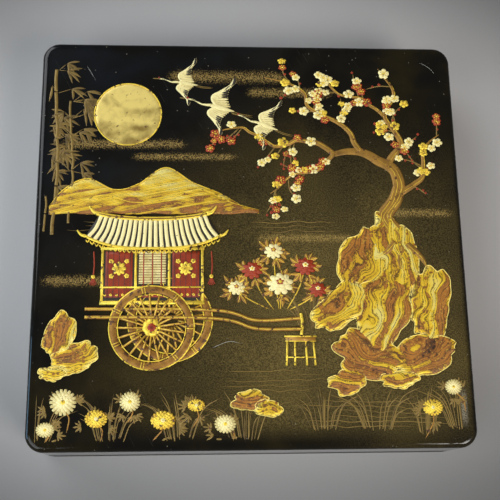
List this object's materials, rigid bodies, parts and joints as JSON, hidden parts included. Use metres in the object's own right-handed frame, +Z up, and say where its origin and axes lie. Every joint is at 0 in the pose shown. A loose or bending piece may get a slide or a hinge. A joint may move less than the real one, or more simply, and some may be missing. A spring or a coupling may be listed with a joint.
{
  "type": "lacquered writing box",
  "caption": "Flat black lacquered box with a flush lift-off lid bearing raised gold work; it holds an inkstone, a water dropper and two trays of brushes and small tools.",
  "frame": {"origin": "middle of the underside, on the surface that the box stands on", "axes": "+Z up through the lid, +X to the right across the box's wider side, +Y to the rear as seen with the picture upright"},
  "size_m": [0.22, 0.215, 0.045],
  "materials": {
    "lid_lacquer": "polished black lacquer with sprinkled gold dust and raised gold work",
    "black_lacquer": "polished black lacquer",
    "inner_lacquer": "black lacquer with sparse gold dust",
    "tray_lacquer": "black lacquer with sparse gold dust and gold edges",
    "slate": "honed slate",
    "dropper_bronze": "dark patinated metal",
    "bamboo": "oiled bamboo",
    "horn": "polished dark horn",
    "brush_hair": "fine animal hair",
    "handle_lacquer": "black lacquer with dense gold dust",
    "gilt_metal": "gilt",
    "steel": "ground steel",
    "holder_wood": "dark red wood, oiled",
    "ink": "pressed soot and glue"
  },
  "bodies": {
    "box": {"body_floor": "black_lacquer", "body_lining_front": "inner_lacquer", "body_lining_left": "inner_lacquer", "body_lining_rear": "inner_lacquer", "body_lining_right": "inner_lacquer", "body_wall_front": "black_lacquer", "body_wall_left": "black_lacquer", "body_wall_rear": "black_lacquer", "body_wall_right": "black_lacquer"},
    "lid": {"lid_top_board": "lid_lacquer", "lid_wall_front": "black_lacquer", "lid_wall_left": "black_lacquer", "lid_wall_rear": "black_lacquer", "lid_wall_right": "black_lacquer"},
    "baseboard": {"baseboard_front_bar": "inner_lacquer", "baseboard_left": "inner_lacquer", "baseboard_left_cheek": "inner_lacquer", "baseboard_middle_bar": "inner_lacquer", "baseboard_rear_bar": "inner_lacquer", "baseboard_right": "inner_lacquer", "baseboard_right_cheek": "inner_lacquer"},
    "inkstone": {"inkstone": "slate"},
    "water_dropper": {"dropper_band": "dropper_bronze", "dropper_base": "dropper_bronze", "dropper_top": "dropper_bronze"},
    "left_tray": {"left_rest_front": "tray_lacquer", "left_rest_rear": "tray_lacquer", "left_tray_floor": "tray_lacquer", "left_tray_wall_front": "tray_lacquer", "left_tray_wall_left": "tray_lacquer", "left_tray_wall_rear": "tray_lacquer", "left_tray_wall_right": "tray_lacquer"},
    "right_tray": {"right_rest_front": "tray_lacquer", "right_rest_rear": "tray_lacquer", "right_tray_floor": "tray_lacquer", "right_tray_wall_front": "tray_lacquer", "right_tray_wall_left": "tray_lacquer", "right_tray_wall_rear": "tray_lacquer", "right_tray_wall_right": "tray_lacquer"},
    "large_brush": {"large_brush_cap": "horn", "large_brush_collar": "horn", "large_brush_shaft": "bamboo", "large_brush_tuft": "brush_hair"},
    "small_brush": {"small_brush_cap": "horn", "small_brush_collar": "horn", "small_brush_shaft": "bamboo", "small_brush_tuft": "brush_hair"},
    "pricker": {"pricker_collar": "gilt_metal", "pricker_handle": "handle_lacquer", "pricker_spike": "steel"},
    "paper_knife": {"knife_blade": "steel", "knife_collar": "gilt_metal", "knife_handle": "handle_lacquer"},
    "ink_holder": {"ink_holder_upper_jaw": "holder_wood", "ink_holder_lower_jaw": "holder_wood"},
    "holder_ring": {"ink_holder_ring": "gilt_metal"},
    "ink_stick": {"ink_stick": "ink"}
  },
  "joints": [
    {"name": "lid_lift", "type": "slide", "parent": "box", "child": "lid", "axis": [0, 0, 1], "range_m": [0, 0.12]},
    {"name": "baseboard_lift", "type": "slide", "parent": "box", "child": "baseboard", "axis": [0, 0, 1], "range_m": [0, 0.0341]},
    {"name": "inkstone_lift", "type": "slide", "parent": "baseboard", "child": "inkstone", "axis": [0, 0, 1], "range_m": [0, 0.0241]},
    {"name": "dropper_lift", "type": "slide", "parent": "baseboard", "child": "water_dropper", "axis": [0, 0, 1], "range_m": [0, 0.0241]},
    {"name": "left_tray_lift", "type": "slide", "parent": "baseboard", "child": "left_tray", "axis": [0, 0, 1], "range_m": [0, 0.0241]},
    {"name": "right_tray_lift", "type": "slide", "parent": "baseboard", "child": "right_tray", "axis": [0, 0, 1], "range_m": [0, 0.0241]},
    {"name": "large_brush_lift", "type": "slide", "parent": "left_tray", "child": "large_brush", "axis": [0, 0, 1], "range_m": [0, 0.0301]},
    {"name": "small_brush_lift", "type": "slide", "parent": "left_tray", "child": "small_brush", "axis": [0, 0, 1], "range_m": [0, 0.0301]},
    {"name": "pricker_lift", "type": "slide", "parent": "left_tray", "child": "pricker", "axis": [0, 0, 1], "range_m": [0, 0.0301]},
    {"name": "knife_lift", "type": "slide", "parent": "right_tray", "child": "paper_knife", "axis": [0, 0, 1], "range_m": [0, 0.0301]},
    {"name": "holder_lift", "type": "slide", "parent": "right_tray", "child": "ink_holder", "axis": [0, 0, 1], "range_m": [0, 0.0301]},
    {"name": "ink_stick_draw", "type": "slide", "parent": "ink_holder", "child": "ink_stick", "axis": [0, -1, 0], "range_m": [0, 0.014]},
    {"name": "holder_ring_slide", "type": "slide", "parent": "ink_holder", "child": "holder_ring", "axis": [0, 1, 0], "range_m": [0, 0.03]}
  ],
  "couplings": [
    {"joint": "baseboard_lift", "follows": "lid_lift", "ratio": 0.28333},
    {"joint": "inkstone_lift", "follows": "lid_lift", "ratio": 0.2},
    {"joint": "dropper_lift", "follows": "lid_lift", "ratio": 0.2},
    {"joint": "left_tray_lift", "follows": "lid_lift", "ratio": 0.2},
    {"joint": "right_tray_lift", "follows": "lid_lift", "ratio": 0.2},
    {"joint": "large_brush_lift", "follows": "lid_lift", "ratio": 0.25},
    {"joint": "small_brush_lift", "follows": "lid_lift", "ratio": 0.25},
    {"joint": "pricker_lift", "follows": "lid_lift", "ratio": 0.25},
    {"joint": "knife_lift", "follows": "lid_lift", "ratio": 0.25},
    {"joint": "holder_lift", "follows": "lid_lift", "ratio": 0.25}
  ]
}
